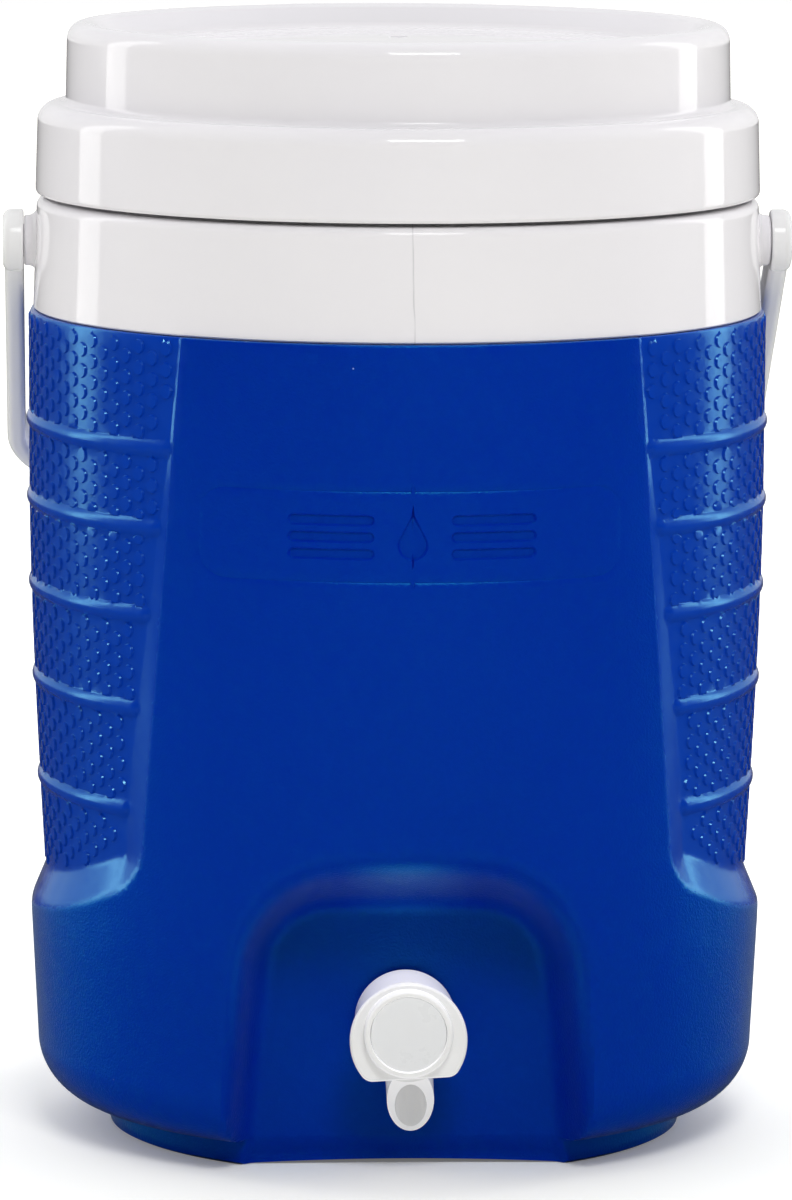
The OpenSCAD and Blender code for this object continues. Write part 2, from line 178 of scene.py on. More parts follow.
shell_high = box_mm("outer_shell")[1]
SHELL_TOP = shell_high.z
SHELL_R = shell_high.y
BAND_R, BAND_TOP = SHELL_R - 0.6, 71.0
BAND_LOW_R = 115.0
ROUND_R = 20.0                  # rounding under the band
FOOT_H, FOOT_R = 8.5, 92.0
ROUND_Z = FOOT_H + ROUND_R
RIM_V = SHELL_TOP - 0.8         # where the wall ends and the rim's rounding begins
WALL = 2.5

WAIST_DEPTH, WAIST_TOP, WAIST_RUN = 4.35, 205.0, 118.0
PANEL_HALF_W, PANEL_LOW = 83.0, 97.0        # half width of the front panel, and the height of it
PANEL_NARROWS, PANEL_RUN = 12.6, 166.0      # how much narrower it is at the shell's top, over that run
FRONT = 64.0                    # half width of the front stretch that is laid out flat in X
PANEL_R = 117.4                 # radius used to lay the rest out by angle
FRONT_ANGLE = math.asin(FRONT / PANEL_R)
BACK_S = FRONT + PANEL_R * (math.pi - FRONT_ANGLE)
SIDE_S = FRONT + PANEL_R * (math.pi / 2 - FRONT_ANGLE)

STUD_H, STUD_BASE, STUD_TOP = 0.65, 2.42, 2.08
STUD_COLUMN, STUD_ROW = 5.7, 6.6
STUD_START = SHELL_TOP - 3.9
RIB_Z = [228.0 - 25.0 * k - 1.25 * k * (k - 1) for k in range(5)]
RIB_ROUND, RIB_PROUD = 3.2, 1.5
SHELF_W = 12.0                  # width of the slope at the grip's foot and in its low corners

RECESS_Y, RECESS_H, RECESS_CORNER = 76.5, 84.0, 19.0
RECESS_SLOPE = 2.9              # how steeply the recess's walls come forward


def shell_outline():
    """Half section of the shell as (distance along it, radius, height), from the foot up."""
    section = [(BAND_LOW_R, ROUND_Z)]
    section += arc(BAND_LOW_R - ROUND_R, ROUND_Z, ROUND_R, 0, -90, 24)
    section += arc(FOOT_R + 1, FOOT_H - 1, 1, 90, 180, 5)
    section += arc(FOOT_R - 1.5, 1.5, 1.5, 0, -90, 5)
    points = np.array(section)
    run = np.concatenate([[0], np.cumsum(np.hypot(*np.diff(points, axis=0).T))])
    along = ROUND_Z - run
    upper = [(BAND_TOP - 2, BAND_R), (BAND_TOP, BAND_R), (SHELL_TOP, SHELL_R)]
    v = np.concatenate([along[::-1], [z for z, r in upper]])
    r = np.concatenate([points[::-1, 0], [r for z, r in upper]])
    z = np.concatenate([points[::-1, 1], [z for z, r in upper]])
    return v, r, z


OUTLINE_V, OUTLINE_R, OUTLINE_Z = shell_outline()
FOOT_V = OUTLINE_V[0]


def waist(z):
    """How far the grip's floor draws in towards its foot."""
    return WAIST_DEPTH * np.clip((WAIST_TOP - z) / WAIST_RUN, 0, 1) ** 1.6


def panel_edge(z):
    """Angle from the front at which the front panel ends."""
    return np.arcsin((PANEL_HALF_W - PANEL_NARROWS * (z - PANEL_LOW) / PANEL_RUN) / PANEL_R)


def panel_edge_s(z):
    return FRONT + (panel_edge(z) - FRONT_ANGLE) * PANEL_R


def side_angle(s):
    return FRONT_ANGLE + (s - FRONT) / PANEL_R


def edge_distance(angle, z):
    """Distance from the nearer panel's edge, positive in the grip."""
    return (np.minimum(angle, math.pi - angle) - panel_edge(z)) * PANEL_R


def wall_width(z):
    return np.interp(z, [106, 124, 150, 185, 228, 263], [11.6, 10.4, 8.2, 5.0, 1.8, 1.0])


def shelf_low(angle, z):
    """Height at which the slope at the grip's foot starts, rising towards the panels."""
    return np.interp(edge_distance(angle, z), [0, 5, 15, 26, 39, 51, 68, 89],
                     [89, 88, 85.2, 81.4, 78.1, 75.7, 73.8, 72.0])


def grip_floor(z):
    return STUD_H + waist(z)


def into_grip(angle, z):
    """Distances to the grip's floor across its side slope and its foot slope, and their hypotenuse."""
    side = np.maximum(SHELF_W - edge_distance(angle, z), 0)
    low = np.maximum(SHELF_W - (z - shelf_low(angle, z)), 0)
    return side, low, np.hypot(side, low) + 1e-9


def grip_depth(angle, z):
    """How far the grip's floor and its drafted walls lie below the panels' surface."""
    _, low, length = into_grip(angle, z)
    width = wall_width(z) + (SHELF_W - wall_width(z)) * (low / length) ** 2
    ramp = (SHELF_W - length) / width
    ramp = smooth_min(smooth_max(ramp, 0 * ramp, 0.12), 0 * ramp + 1, 0.12)
    return grip_floor(z) * np.clip(ramp, 0, 1)


def rib_distance(z):
    return np.min([np.abs(z - k) for k in RIB_Z], axis=0)


def rib_height(angle, z):
    """Height of the nearest rib over the grip's floor, far below it away from a rib."""
    overrun = np.maximum(wall_width(z) + 1.6 - edge_distance(angle, z), 0)
    d = np.hypot(overrun, rib_distance(z))
    round_top = np.sqrt(np.maximum(RIB_ROUND ** 2 - d ** 2, 0))
    return np.where(d < RIB_ROUND, round_top, -3 * (d - RIB_ROUND)) - (RIB_ROUND - RIB_PROUD)


def stud_is_there(s, z):
    angle = side_angle(s)
    clear_wall = edge_distance(angle, z) > wall_width(z) + STUD_BASE + 0.1
    clear_ends = (z > shelf_low(angle, z) + SHELF_W + STUD_BASE) & (z < RIM_V - STUD_BASE)
    return (rib_distance(z) > 3.1) & clear_wall & clear_ends


def stud_centre(column, row):
    s = SIDE_S + STUD_COLUMN * column
    z = STUD_START - STUD_ROW * (row + 0.5 * (column % 2))
    return s, z


def stud_distance(s, z):
    """Distance from the nearest stud's axis."""
    nearest = np.full(np.shape(s), 99.0)
    column = np.round((s - SIDE_S) / STUD_COLUMN)
    for shift in (-1, 0, 1):
        c = column + shift
        row = np.round((STUD_START - z) / STUD_ROW - 0.5 * (c % 2))
        cs, cz = stud_centre(c, row)
        d = np.where(stud_is_there(cs, cz), np.hypot(s - cs, z - cz), 99.0)
        nearest = np.minimum(nearest, d)
    return nearest


def rounded_box_distance(x, z, half_w, half_h, r):
    qx = np.abs(x) - half_w + r
    qz = np.abs(z) - half_h + r
    return np.hypot(np.maximum(qx, 0), np.maximum(qz, 0)) + np.minimum(np.maximum(qx, qz), 0) - r


BADGE_Z, BADGE_W, BADGE_H, BADGE_R = 204.0, 65.0, 14.0, 8.0
DROP_R, DROP_TIP = 4.4, 9.6     # the drop's round end, and its point above that end's centre
BARS = [(25.0, z, 13.0, 1.5) for z in (-5.2, 0.0, 5.2)]


def drop_distance(x, z):
    lift = z + 2.4
    slant = DROP_R / DROP_TIP
    flank = np.abs(x) * math.sqrt(1 - slant ** 2) + lift * slant - DROP_R
    return np.where(lift > DROP_R * slant, flank, np.hypot(x, lift) - DROP_R)


def badge_depth(x, z):
    """A faint outline with a plain drop and three bars on each side, sunk in the front."""
    z = z - BADGE_Z
    groove = np.abs(rounded_box_distance(x, z, BADGE_W, BADGE_H, BADGE_R))
    depth = 0.35 * np.clip(1 - groove / 0.7, 0, 1)
    shapes = drop_distance(x, z)
    for cx, cz, half_w, half_h in BARS:
        shapes = np.minimum(shapes, rounded_box_distance(np.abs(x) - cx, z - cz, half_w, half_h, half_h))
    return depth + 0.9 * np.clip(0.5 - shapes / 0.6, 0, 1)


def recess_surface(x, z, inset=0.0):
    """Y of the spigot recess: a flat floor with walls that flare outwards."""
    lean = 9.0 / RECESS_H
    side = (np.abs(x) - (51.3 - lean * z)) / math.sqrt(1 + lean ** 2)
    top = z - RECESS_H
    a, b = side + RECESS_CORNER, top + RECESS_CORNER
    outside = np.hypot(np.maximum(a, 0), np.maximum(b, 0)) + np.minimum(np.maximum(a, b), 0) - RECESS_CORNER
    floor_y = RECESS_Y - 2.5 * np.clip((9.5 - z) / 7, 0, 1) ** 1.3 - inset
    slope = RECESS_SLOPE - 0.6 * np.clip((z - 60) / 30, 0, 1)
    return -(floor_y + slope * smooth_max(outside, 0 * outside - 0.2, 4.0))


def shell_points(s, v, inset=0.0):
    """Positions on the shell, or on a surface inset below it, for layout coordinates s and v."""
    r = np.interp(v, OUTLINE_V, OUTLINE_R) - inset
    z = np.interp(v, OUTLINE_V, OUTLINE_Z)
    z = z + inset * np.clip((ROUND_Z - z) / ROUND_R, 0, 1)
    front = np.arcsin(np.clip(s / r, 0, 1))
    start = np.arcsin(FRONT / r)
    back = start + (math.pi - start) * (s - FRONT) / (BACK_S - FRONT)
    angle = np.where(s <= FRONT, front, back)
    smooth_r = r - grip_depth(angle, z)
    if inset == 0:
        lift = np.interp(stud_distance(s, z), [STUD_TOP, STUD_BASE], [STUD_H, 0])
        lift = lift * np.clip((rib_distance(z) - 2.5) / 0.35, 0, 1)
        floor = r - grip_floor(z)
        in_grip = edge_distance(angle, z) > -2
        ribbed = smooth_max(smooth_r + lift, floor + rib_height(angle, z), 0.5)
        smooth_r = np.where(in_grip & (z > 100), ribbed, smooth_r + lift)
        smooth_r = smooth_r - np.where(angle < 1, badge_depth(PANEL_R * np.sin(angle), z), 0)
    x = smooth_r * np.sin(angle)
    y = -smooth_r * np.cos(angle)
    blend = np.interp(z, [8, 32], [2.2, 12])
    recess = recess_surface(x, z, inset)
    near = (angle < 1.2) & (z < 125)
    y = np.where(near, smooth_max(y, recess, blend), y)
    arch = 1.4 * np.clip(1 - (x / 52) ** 2, 0, 1) * np.clip((11 - z) / 11, 0, 1)
    z = z + np.where(near & (y > -80) & (y < -60), arch, 0)
    return np.stack([x, y, z], axis=1)


def grid(s0, s1, v0, v1, ds, dv):
    ns, nv = max(2, round((s1 - s0) / ds) + 1), max(2, round((v1 - v0) / dv) + 1)
    s, v = np.meshgrid(np.linspace(s0, s1, ns), np.linspace(v0, v1, nv))
    return np.stack([s.ravel(), v.ravel()], axis=1)


def row_points(s0, s1, v, ds):
    s = np.linspace(s0, s1, max(2, round((s1 - s0) / ds) + 1))
    return np.stack([s, np.full(len(s), v)], axis=1)


def ring_points(cs, cz, radii, steps):
    out = []
    for k, r in enumerate(radii):
        a = 2 * np.pi * (np.arange(steps) + 0.5 * (k % 2)) / steps
        out.append(np.stack([cs + r * np.cos(a), cz + r * np.sin(a)], axis=1))
    return np.concatenate(out)


def contour(outline, offsets):
    """Points beside a closed outline of (x, z, nx, nz)."""
    return np.concatenate([outline[:, :2] + outline[:, 2:] * o for o in offsets])


def box_outline(cx, cz, half_w, half_h, r, step):
    pieces = []
    for sx, sz, a0 in ((1, 1, 0), (-1, 1, 90), (-1, -1, 180), (1, -1, 270)):
        a = np.radians(np.linspace(a0, a0 + 90, max(3, round(1.57 * r / step)) + 1))
        nx, nz = np.cos(a), np.sin(a)
        pieces.append(np.stack([sx * (half_w - r) + r * nx, sz * (half_h - r) + r * nz, nx, nz], axis=1))
    corners = np.concatenate(pieces)
    out = []
    for here, there in zip(corners, np.roll(corners, -1, axis=0)):
        n = max(1, round(math.dist(here[:2], there[:2]) / step))
        t = np.arange(n)[:, None] / n
        out.append(here + (there - here) * t)
    out = np.concatenate(out)
    return out + np.array([cx, cz, 0, 0])


def drop_outline(cz, step):
    half = math.degrees(math.acos(DROP_R / DROP_TIP))
    a = np.radians(np.linspace(90 + half, 450 - half, 26))
    nx, nz = np.cos(a), np.sin(a)
    round_end = np.stack([DROP_R * nx, DROP_R * nz, nx, nz], axis=1)
    tip = np.array([0, DROP_TIP])
    flanks = []
    for end in (round_end[-1], round_end[0]):
        n = round(math.dist(end[:2], tip) / step)
        t = (np.arange(1, n) / n)[:, None]
        along = end[:2] + (tip - end[:2]) * t
        flanks.append(np.concatenate([along, np.repeat(end[None, 2:], n - 1, 0)], axis=1))
    return np.concatenate([round_end] + flanks) + np.array([0, cz - 2.4, 0, 0])


def layout_points():
    """The half shell's points in layout coordinates, close where the surface is detailed."""
    studs = []
    for column in range(-18, 19):
        for row in range(29):
            cs, cz = stud_centre(column, row)
            if stud_is_there(cs, cz):
                studs.append(ring_points(cs, cz, (STUD_BASE, STUD_TOP), 14))
    studs = np.concatenate(studs)
    studs = studs[rib_distance(studs[:, 1]) > 3.0]
    fine = []
    z_edge = np.arange(66, RIM_V, 2.2)
    edge_s = panel_edge_s(z_edge)
    for share in (-0.15, -0.05, 0.05, 0.15, 0.35, 0.55, 0.75, 0.9, 1.02, 1.15):
        offset = share * wall_width(z_edge)
        for s in (edge_s + offset, 2 * SIDE_S - edge_s - offset):
            fine.append(np.stack([s, z_edge], axis=1))
    low_s = float(edge_s.min()) - 2
    for z in RIB_Z:
        start = panel_edge_s(z) - 3
        for dz in (-2.86, -2.5, -2.05, -1.35, -0.5, 0.5, 1.35, 2.05, 2.5, 2.86):
            fine.append(row_points(start, 2 * SIDE_S - start, z + dz, 2.2))
        for end in (start + 3, 2 * SIDE_S - start - 3):
            rib_end = end + wall_width(z) * (1 if end < SIDE_S else -1)
            fine.append(grid(rib_end - 4, rib_end + 4, z - 3.2, z + 3.2, 0.8, 0.8))
    foot_s = np.arange(low_s, 2 * SIDE_S - low_s, 2.0)
    for rise in np.arange(-2.5, SHELF_W + 2, 1.3):
        fine.append(np.stack([foot_s, shelf_low(side_angle(foot_s), 90.0) + rise], axis=1))
    emblem = [contour(box_outline(0, BADGE_Z, BADGE_W, BADGE_H, BADGE_R, 1.4), (-0.7, 0, 0.7)),
              contour(drop_outline(BADGE_Z, 0.7), (-0.3, 0.3))]
    for cx, cz, half_w, half_h in BARS:
        emblem.append(contour(box_outline(cx, BADGE_Z + cz, half_w, half_h, half_h, 0.8), (-0.3, 0.3)))
    emblem = np.concatenate(emblem)
    front = grid(0, FRONT + 4, FOOT_V, 112, 1.65, 1.65)
    lower = grid(FRONT + 5.5, BACK_S, FOOT_V, ROUND_Z, 3.0, 1.4)
    band = grid(FRONT + 5.5, BACK_S, ROUND_Z + 2, 66.5, 2.6, 4.4)
    panel = grid(0, 92, 113.5, RIM_V, 2.6, 3.0)
    above_band = grid(FRONT + 5.5, 84, 68, 112, 2.6, 3.0)
    back = grid(2 * SIDE_S - 92, BACK_S, 68, RIM_V, 2.6, 4.4)
    rims = [row_points(0, BACK_S, RIM_V, 2.2), row_points(0, BACK_S, FOOT_V, 1.8)]
    rim_s = panel_edge_s(RIM_V)
    for s in (rim_s, 2 * SIDE_S - rim_s):
        rims.append(row_points(s - 0.8, s + 1.6, RIM_V, 0.4))
    plain = np.concatenate([front, lower, band, panel, above_band, back])
    angle = side_angle(plain[:, 0])
    in_grip = edge_distance(angle, plain[:, 1]) > -1.2
    plain = plain[~(in_grip & (plain[:, 1] > shelf_low(angle, plain[:, 1]) - 3))]
    fine = np.concatenate(fine)
    fine = fine[(fine[:, 1] < RIM_V - 0.4)]
    off_studs = stud_distance(fine[:, 0], fine[:, 1]) > STUD_BASE + 0.15
    fine = fine[off_studs | (rib_distance(fine[:, 1]) < 2.9)]
    emblem = emblem[emblem[:, 0] >= 0]
    plain = keep_apart(plain, emblem, 0.75)
    plain = keep_apart(plain, fine, 0.9)
    rims = np.concatenate(rims)
    everything = np.concatenate([rims, emblem, fine, plain, studs])
    inside = (everything[:, 0] >= 0) & (everything[:, 0] <= BACK_S)
    return thin_out(everything[inside])


def keep_apart(points, others, gap):
    """Drops the points that lie within about gap of another set."""
    taken = set()
    for a, b in np.round(others / gap).astype(int):
        for i in (-1, 0, 1):
            for j in (-1, 0, 1):
                taken.add((a + i, b + j))
    keys = np.round(points / gap).astype(int)
    return points[[tuple(k) not in taken for k in keys]]


def thin_out(points):
    """Keeps the first of the points that share a quarter millimetre square."""
    seen = set()
    kept = []
    for p, k in zip(points, np.round(points / 0.25).astype(int)):
        if tuple(k) not in seen:
            seen.add(tuple(k))
            kept.append(p)
    return np.array(kept)


def foot_ring(outline, radius, chord):
    """Points at the outline's bearings, on a circle cut off by a chord at the front."""
    bearing = np.arctan2(outline[:, 0], -outline[:, 1])
    reach = np.where(np.cos(bearing) > 1e-3, chord / np.maximum(np.cos(bearing), 1e-3), 1e9)
    reach = np.minimum(reach, radius)
    return np.stack([reach * np.sin(bearing), -reach * np.cos(bearing)], axis=1)


def build_shell():
    flat = layout_points()
    found = delaunay_2d_cdt([Vector(p) for p in flat], [], [], 0, 1e-5)
    layout = np.array([tuple(p) for p in found[0]])
    faces = [tuple(f) for f in found[2]]
    points = shell_points(layout[:, 0], layout[:, 1])

    def row(v):
        on = np.where(np.abs(layout[:, 1] - v) < 1e-3)[0]
        return on[np.argsort(layout[on, 0])]

    all_points = [points]
    count = len(points)

    def add_ring(xyz):
        nonlocal count
        all_points.append(xyz)
        index = np.arange(count, count + len(xyz))
        count += len(xyz)
        return index

    def strip(a, b):
        for i in range(len(a) - 1):
            faces.append((a[i], a[i + 1], b[i + 1], b[i]))

    def close(ring, z):
        centre = add_ring(np.array([[0.0, 0.0, z]]))[0]
        for i in range(len(ring) - 1):
            faces.append((ring[i], ring[i + 1], centre))

    top = row(RIM_V)
    top_s = layout[top, 0]
    ring = top
    for inward, z in ((0.25, SHELL_TOP - 0.25), (0.8, SHELL_TOP), (WALL, SHELL_TOP)):
        xyz = points[top].copy()
        xyz[:, :2] *= 1 - inward / np.hypot(xyz[:, 0], xyz[:, 1])[:, None]
        xyz[:, 2] = z
        new = add_ring(xyz)
        strip(ring, new)
        ring = new
    inner_v = np.concatenate([np.linspace(SHELL_TOP - 8, 112, 13), np.linspace(106, 0, 20)])
    for v in inner_v:
        new = add_ring(shell_points(top_s, np.full(len(top_s), v), WALL))
        strip(ring, new)
        ring = new
    close(ring, np.concatenate(all_points)[ring][:, 2].max())

    foot = row(FOOT_V)
    outline = points[foot]
    ring = foot
    for radius, chord, z in ((79.5, 63.5, 0.0), (78.5, 62.5, 1.0), (78.0, 62.0, 3.5)):
        flat_ring = foot_ring(outline, radius, chord)
        new = add_ring(np.column_stack([flat_ring, np.full(len(flat_ring), z)]))
        strip(ring, new)
        ring = new
    close(ring, 3.5)

    half = np.concatenate(all_points)
    mesh = bpy.data.meshes.new("half")
    mirrored = half * np.array([-1, 1, 1])
    flipped = [tuple(i + len(half) for i in reversed(f)) for f in faces]
    whole = np.concatenate([half, mirrored])
    mesh.from_pydata(whole.tolist(), [], [tuple(map(int, f)) for f in faces + flipped])
    bm = bmesh.new()
    bm.from_mesh(mesh)
    bpy.data.meshes.remove(mesh)
    shell = make_object("jug_shell", bm, sharp=38)
    combine(shell, spigot_drill(RECESS_Y - 8, 12), "DIFFERENCE", 38)
    place_xyz = np.array([v.co for v in shell.data.vertices]) / MM
    angle = np.abs(np.arctan2(place_xyz[:, 0], -place_xyz[:, 1]))
    height = place_xyz[:, 2]
    depth = SHELF_W - into_grip(angle, height)[2]
    # Grip mask: it makes the grips glossier and also lays the blue's painted sheen colour on them.
    polish_and_sheen = shell.data.attributes.new("polish_and_sheen", "FLOAT", "POINT")
    polish_and_sheen.data.foreach_set("value", np.clip(depth + 0.8, 0, 1).astype(np.float32))
    return shell


# ---- the white liner with its collar ---------------------------------------------------

liner_high = box_mm("inner_liner")[1]
lid_low, lid_high = box_mm("lid_cap")
bail_high = box_mm("bail_handle")[1]
RIM_Z = liner_high.z                    # the neck's rim
LID_LOW, LID_TOP = lid_low.z, lid_high.z
COLLAR_Z = LID_LOW - 1.1                # the collar's shoulder
COLLAR_LOW_R, COLLAR_TOP_R = 116.1, 115.0
NECK_R, MOUTH_R = 108.0, 97.5
TANK_LOW_R, TANK_FLOOR, FLAT_Y = 91.0, 22.0, 64.6
LINER_WALL = 2.4
LEAD, THREAD_SWEEP, THREAD_DEPTH = 16.0, 190.0, 3.2
PIVOT_Z = next(j for j in frame["joints"] if j["name"] == "bail_swing")["pos_m"][2] / MM


def thread_ridge(name, root, depth, z0, start, grow):
    """One thread start: a rounded trapezoid swept along a helix, fading in and out.

    grow is 1 for a thread that stands away from the axis and -1 for one towards it.
    """
    steps = 76
    shape = [(-0.7, -1.9), (0.07, -1.75), (0.55, -1.4), (0.92, -0.95), (1.0, -0.5),
             (1.0, 0.5), (0.92, 0.95), (0.55, 1.4), (0.07, 1.75), (-0.7, 1.9)]
    bm = bmesh.new()
    rings = []
    for i in range(steps + 1):
        turn = THREAD_SWEEP * i / steps
        a = math.radians(start + turn)
        swell = min(1, 0.12 + min(i, steps - i) / 9)
        ring = []
        for out, side in shape:
            reach = out * (depth * swell if out > 0 else 1)
            r = root + grow * reach
            ring.append(bm.verts.new((r * math.cos(a), r * math.sin(a),
                                      z0 + LEAD * turn / 360 + side * (0.6 + 0.4 * swell))))
        rings.append(ring)
    skin(bm, rings)
    return make_object(name, bm)


def collar_profile():
    w = LINER_WALL
    lip_r = SHELL_R - WALL - STUD_H - 0.4
    seam_z = SHELL_TOP + 0.25
    return ([(lip_r, seam_z - 8), (lip_r, seam_z), (COLLAR_LOW_R - 0.5, seam_z),
             (COLLAR_LOW_R, seam_z + 0.5)]
            + arc(COLLAR_TOP_R - 3.2, COLLAR_Z - 3.2, 3.2, 0, 90, 10)
            + [(NECK_R + 1.4, COLLAR_Z)] + arc(NECK_R + 1.4, COLLAR_Z + 1.4, 1.4, 270, 180, 4)
            + [(NECK_R, RIM_Z - 1.2)] + arc(NECK_R - 1.2, RIM_Z - 1.2, 1.2, 0, 90, 4)
            + arc(MOUTH_R + 1, RIM_Z - 1, 1, 90, 180, 4)
            + [(MOUTH_R, COLLAR_Z - 5)]
            + arc(TANK_LOW_R - 8, TANK_FLOOR + 8, 8, 0, -90, 8) + [(0, TANK_FLOOR), (0, TANK_FLOOR - w)]
            + arc(TANK_LOW_R - 8, TANK_FLOOR + 8, 8 + w, -90, 0, 8)
            + [(MOUTH_R + w, COLLAR_Z - 5), (MOUTH_R + w, RIM_Z - w), (NECK_R - w, RIM_Z - w),
               (NECK_R - w, COLLAR_Z - w), (COLLAR_TOP_R - w - 1, COLLAR_Z - w), (lip_r - w, seam_z - 8)])


def flatten_tank(obj):
    """Presses the tank's front flat where the spigot passes, with a slope above the flat."""
    for v in obj.data.vertices:
        x, y, z = v.co / MM
        r = math.hypot(x, y)
        if r > MOUTH_R + LINER_WALL + 0.3 or z > 200:
            continue
        outer = r > np.interp(z, [TANK_FLOOR, COLLAR_Z], [TANK_LOW_R, MOUTH_R]) + 0.5 * LINER_WALL
        limit = FLAT_Y + (LINER_WALL if outer else 0) + max(0, z - 85) * 1.25
        if -y > limit:
            v.co.y = -limit * MM
    obj.data.update()


def cylinder(name, r, length, steps=64):
    """A closed cylinder along +Z from the origin."""
    return lathe(name, [(0, 0), (r, 0), (r, length), (0, length)], steps)


def spigot_drill(start_y, length):
    """A cutter for the hole that the spigot's tail passes, running forwards from start_y."""
    drill = cylinder("hole", SPIGOT_HOLE_R, length)
    move(drill, Matrix.Translation((0, -start_y * MM, SPIGOT_Z * MM)) @ Matrix.Rotation(math.pi / 2, 4, "X"))
    return drill


def block(name, size):
    """A cube about the origin."""
    bm = bmesh.new()
    bmesh.ops.create_cube(bm, size=size)
    return make_object(name, bm)


def to_side(side, x):
    """Turns +Z to +X or -X and moves out to x."""
    return Matrix.Translation((side * x * MM, 0, PIVOT_Z * MM)) @ Matrix.Rotation(side * math.pi / 2, 4, "Y")


def build_liner():
    liner = lathe("jug_liner", collar_profile(), sharp=35)
    flatten_tank(liner)
    for start in (0.4, 180.4):
        combine(liner, thread_ridge("ridge", NECK_R, THREAD_DEPTH, COLLAR_Z + 10.1, start, 1), "UNION", 35)
    stud_r, boss_r = 5.0, 8.0
    boss_out = 119.0 - (COLLAR_TOP_R - 2)
    boss = [(0, 0), (boss_r + 1.6, 0), (boss_r + 1.5, 2.2), (boss_r + 0.6, 3.0), (boss_r + 0.1, 4.0)]
    boss += [(boss_r, boss_out - 0.5), (boss_r - 0.5, boss_out), (stud_r, boss_out)]
    boss += [(stud_r, boss_out + 4.6), (0, boss_out + 4.6)]
    for side in (-1, 1):
        part = lathe("boss", boss, 64)
        move(part, to_side(side, COLLAR_TOP_R - 2))
        combine(liner, part, "UNION", 35)
    combine(liner, spigot_drill(FLAT_Y - 10, 40), "DIFFERENCE", 35)
    return liner


# ---- the lid ---------------------------------------------------------------------------

LID_R = lid_high.x
LID_STEP = LID_LOW + 28.6
RING_R = LID_R - 9.6
CREST_R = RING_R - 6.0
LID_WALL = 2.6
DISH_DEPTH, DISH_CROWN = 7.6, 2.9


def dish(depth):
    """The dished top from its centre out to the rim's rounding, at a depth below the surface."""
    floor_r = CREST_R - 11
    low = LID_TOP - DISH_DEPTH
    crown = [(floor_r * t, low + DISH_CROWN * (1 - t * t) - depth) for t in np.linspace(0, 0.93, 12)]
    moat = [(floor_r * 0.965, low + 0.32 - depth), (floor_r, low + 0.42 - depth),
            (floor_r + 2.2, low + 0.95 - depth), (floor_r + 4.0, low + 2.0 - depth)]
    bank = [(CREST_R - 3.6, LID_TOP - 1.35 - depth), (CREST_R - 2.0, LID_TOP - 0.5 - depth)]
    return crown + moat + bank


def build_lid():
    w = LID_WALL
    outside = dish(0) + arc(CREST_R + 0.4, LID_TOP - 5.2, 5.2, 96, 0, 14)
    outside += [(RING_R, LID_STEP + 2.2)] + arc(RING_R + 2.2, LID_STEP + 2.2, 2.2, 190, 270, 6)
    outside += arc(LID_R - 6.2, LID_STEP - 5.6, 5.6, 84, 4, 12)
    outside += [(LID_R, LID_LOW + 2.6)] + arc(LID_R - 1.4, LID_LOW + 1.4, 1.4, 0, -90, 6)
    inside = [(LID_R - w - 0.2, LID_LOW), (LID_R - w - 0.9, LID_STEP - 1.6), (RING_R - w, LID_STEP - 1.6)]
    inside += arc(CREST_R - 0.3, LID_TOP - 6, 6 - w, 0, 90, 5)
    inside += dish(w)[::-1]
    lid = lathe("lid_moulding", outside + inside, sharp=35)
    for start in (-40, 140):
        ridge = thread_ridge("ridge", LID_R - w - 0.5, THREAD_DEPTH, LID_LOW + 2.6, start, -1)
        combine(lid, ridge, "UNION", 35)
    middle = LID_TOP - DISH_DEPTH + DISH_CROWN
    bore = lathe("bore", [(0, 0.6), (3.4, 0.6), (3.1, -0.45), (0, -0.45)], 48)
    move(bore, Matrix.Translation((0, 0, middle * MM)))
    combine(lid, bore, "DIFFERENCE", 35)
    nub = lathe("nub", [(0, -1), (1.1, -1), (1.1, 0.0), (0.8, 0.15), (0, 0.15)], 32)
    move(nub, Matrix.Translation((0, 0, (middle - 0.4) * MM)))
    combine(lid, nub, "UNION", 35)
    return lid


# ---- the bail --------------------------------------------------------------------------

STRAP_IN, STRAP_T, STRAP_W = 119.2, 6.0, 14.0
BAIL_REACH, BAIL_CORNER, BAIL_REST = 153.5, 37.0, 54.5
DISC_R, DISC_OUT = 9.9, bail_high.x


def strap_section(half_t, half_w, r):
    """Rounded rectangle, thin across and wide along Y."""
    ring = []
    for cx, cy, a0 in ((1, 1, 0), (-1, 1, 90), (-1, -1, 180), (1, -1, 270)):
        ring += arc(cx * (half_t - r), cy * (half_w - r), r, a0, a0 + 90, 6)
    return ring


def bail_path():
    """Middle line of the strap as (x, z, angle of the strap's normal), hanging straight down."""
    mid = STRAP_IN + STRAP_T / 2
    corner = BAIL_CORNER - STRAP_T / 2
    bend = BAIL_REACH - corner
    path = [(mid, -t, 0.0) for t in np.linspace(2, bend, 26)]
    path += [(mid - corner + corner * math.cos(a), -bend - corner * math.sin(a), -a)
             for a in np.radians(np.linspace(0, 90, 22))[1:]]
    path += [(x, -BAIL_REACH, -math.pi / 2) for x in np.linspace(mid - corner, 0, 18)[1:]]
    return path


